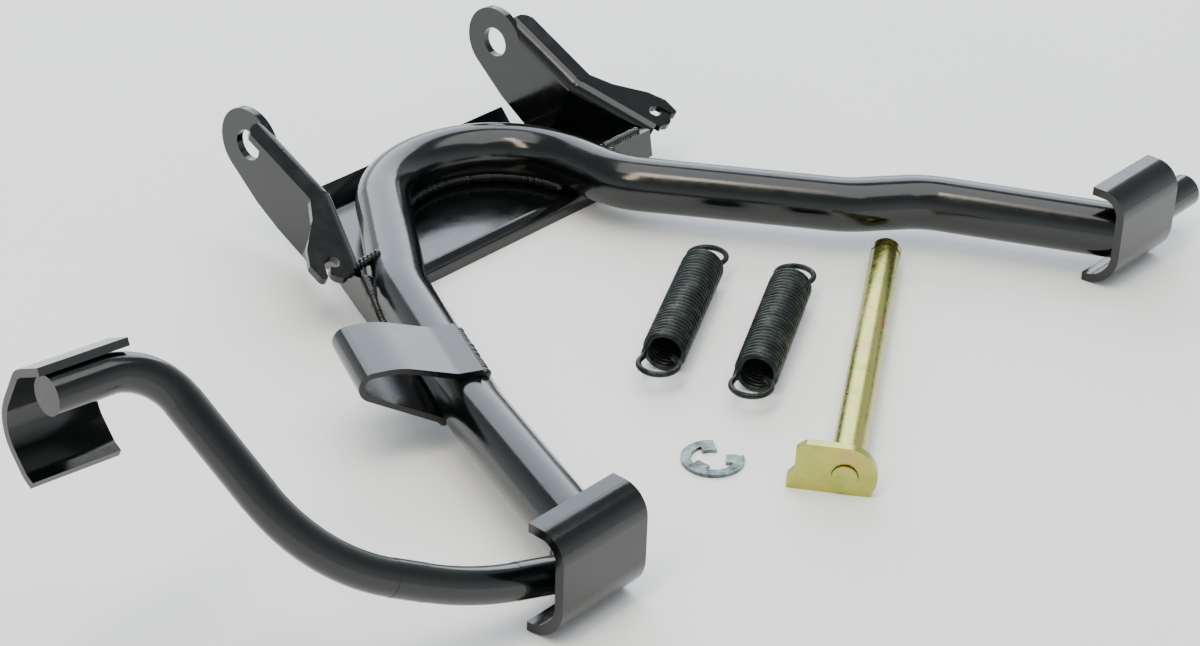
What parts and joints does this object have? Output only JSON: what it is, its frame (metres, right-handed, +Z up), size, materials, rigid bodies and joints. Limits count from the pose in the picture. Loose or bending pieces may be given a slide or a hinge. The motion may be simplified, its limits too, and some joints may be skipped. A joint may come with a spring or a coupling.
{
  "type": "motorcycle centre stand",
  "caption": "Welded tubular motorcycle centre stand with pivot ears, folded feet and a foot lever, laid out with its return springs, pivot pin with lock plate and open clip.",
  "frame": {"origin": "on the ground the stand lies on, below the centre of the top bend, midway between the pivot ears", "axes": "+X across the stand from the lever side to the plain side, +Y toward the pivot ears, +Z up"},
  "size_m": [0.5898, 0.3489, 0.1346],
  "materials": {
    "black_paint": "gloss",
    "spring_steel": "satin",
    "yellow_zinc": "satin",
    "clip_steel": "satin"
  },
  "bodies": {
    "root": {"leg_tube": "black_paint", "left_ear": "black_paint", "right_ear": "black_paint", "ear_gussets": "black_paint", "cross_plate": "black_paint", "left_foot": "black_paint", "right_foot": "black_paint", "lever_rod": "black_paint", "pedal_pad": "black_paint", "side_guard": "black_paint", "stub_peg": "black_paint", "spring_a": "spring_steel", "spring_b": "spring_steel", "pivot_pin": "yellow_zinc", "lock_plate": "yellow_zinc", "e_clip": "clip_steel"}
  },
  "joints": []
}
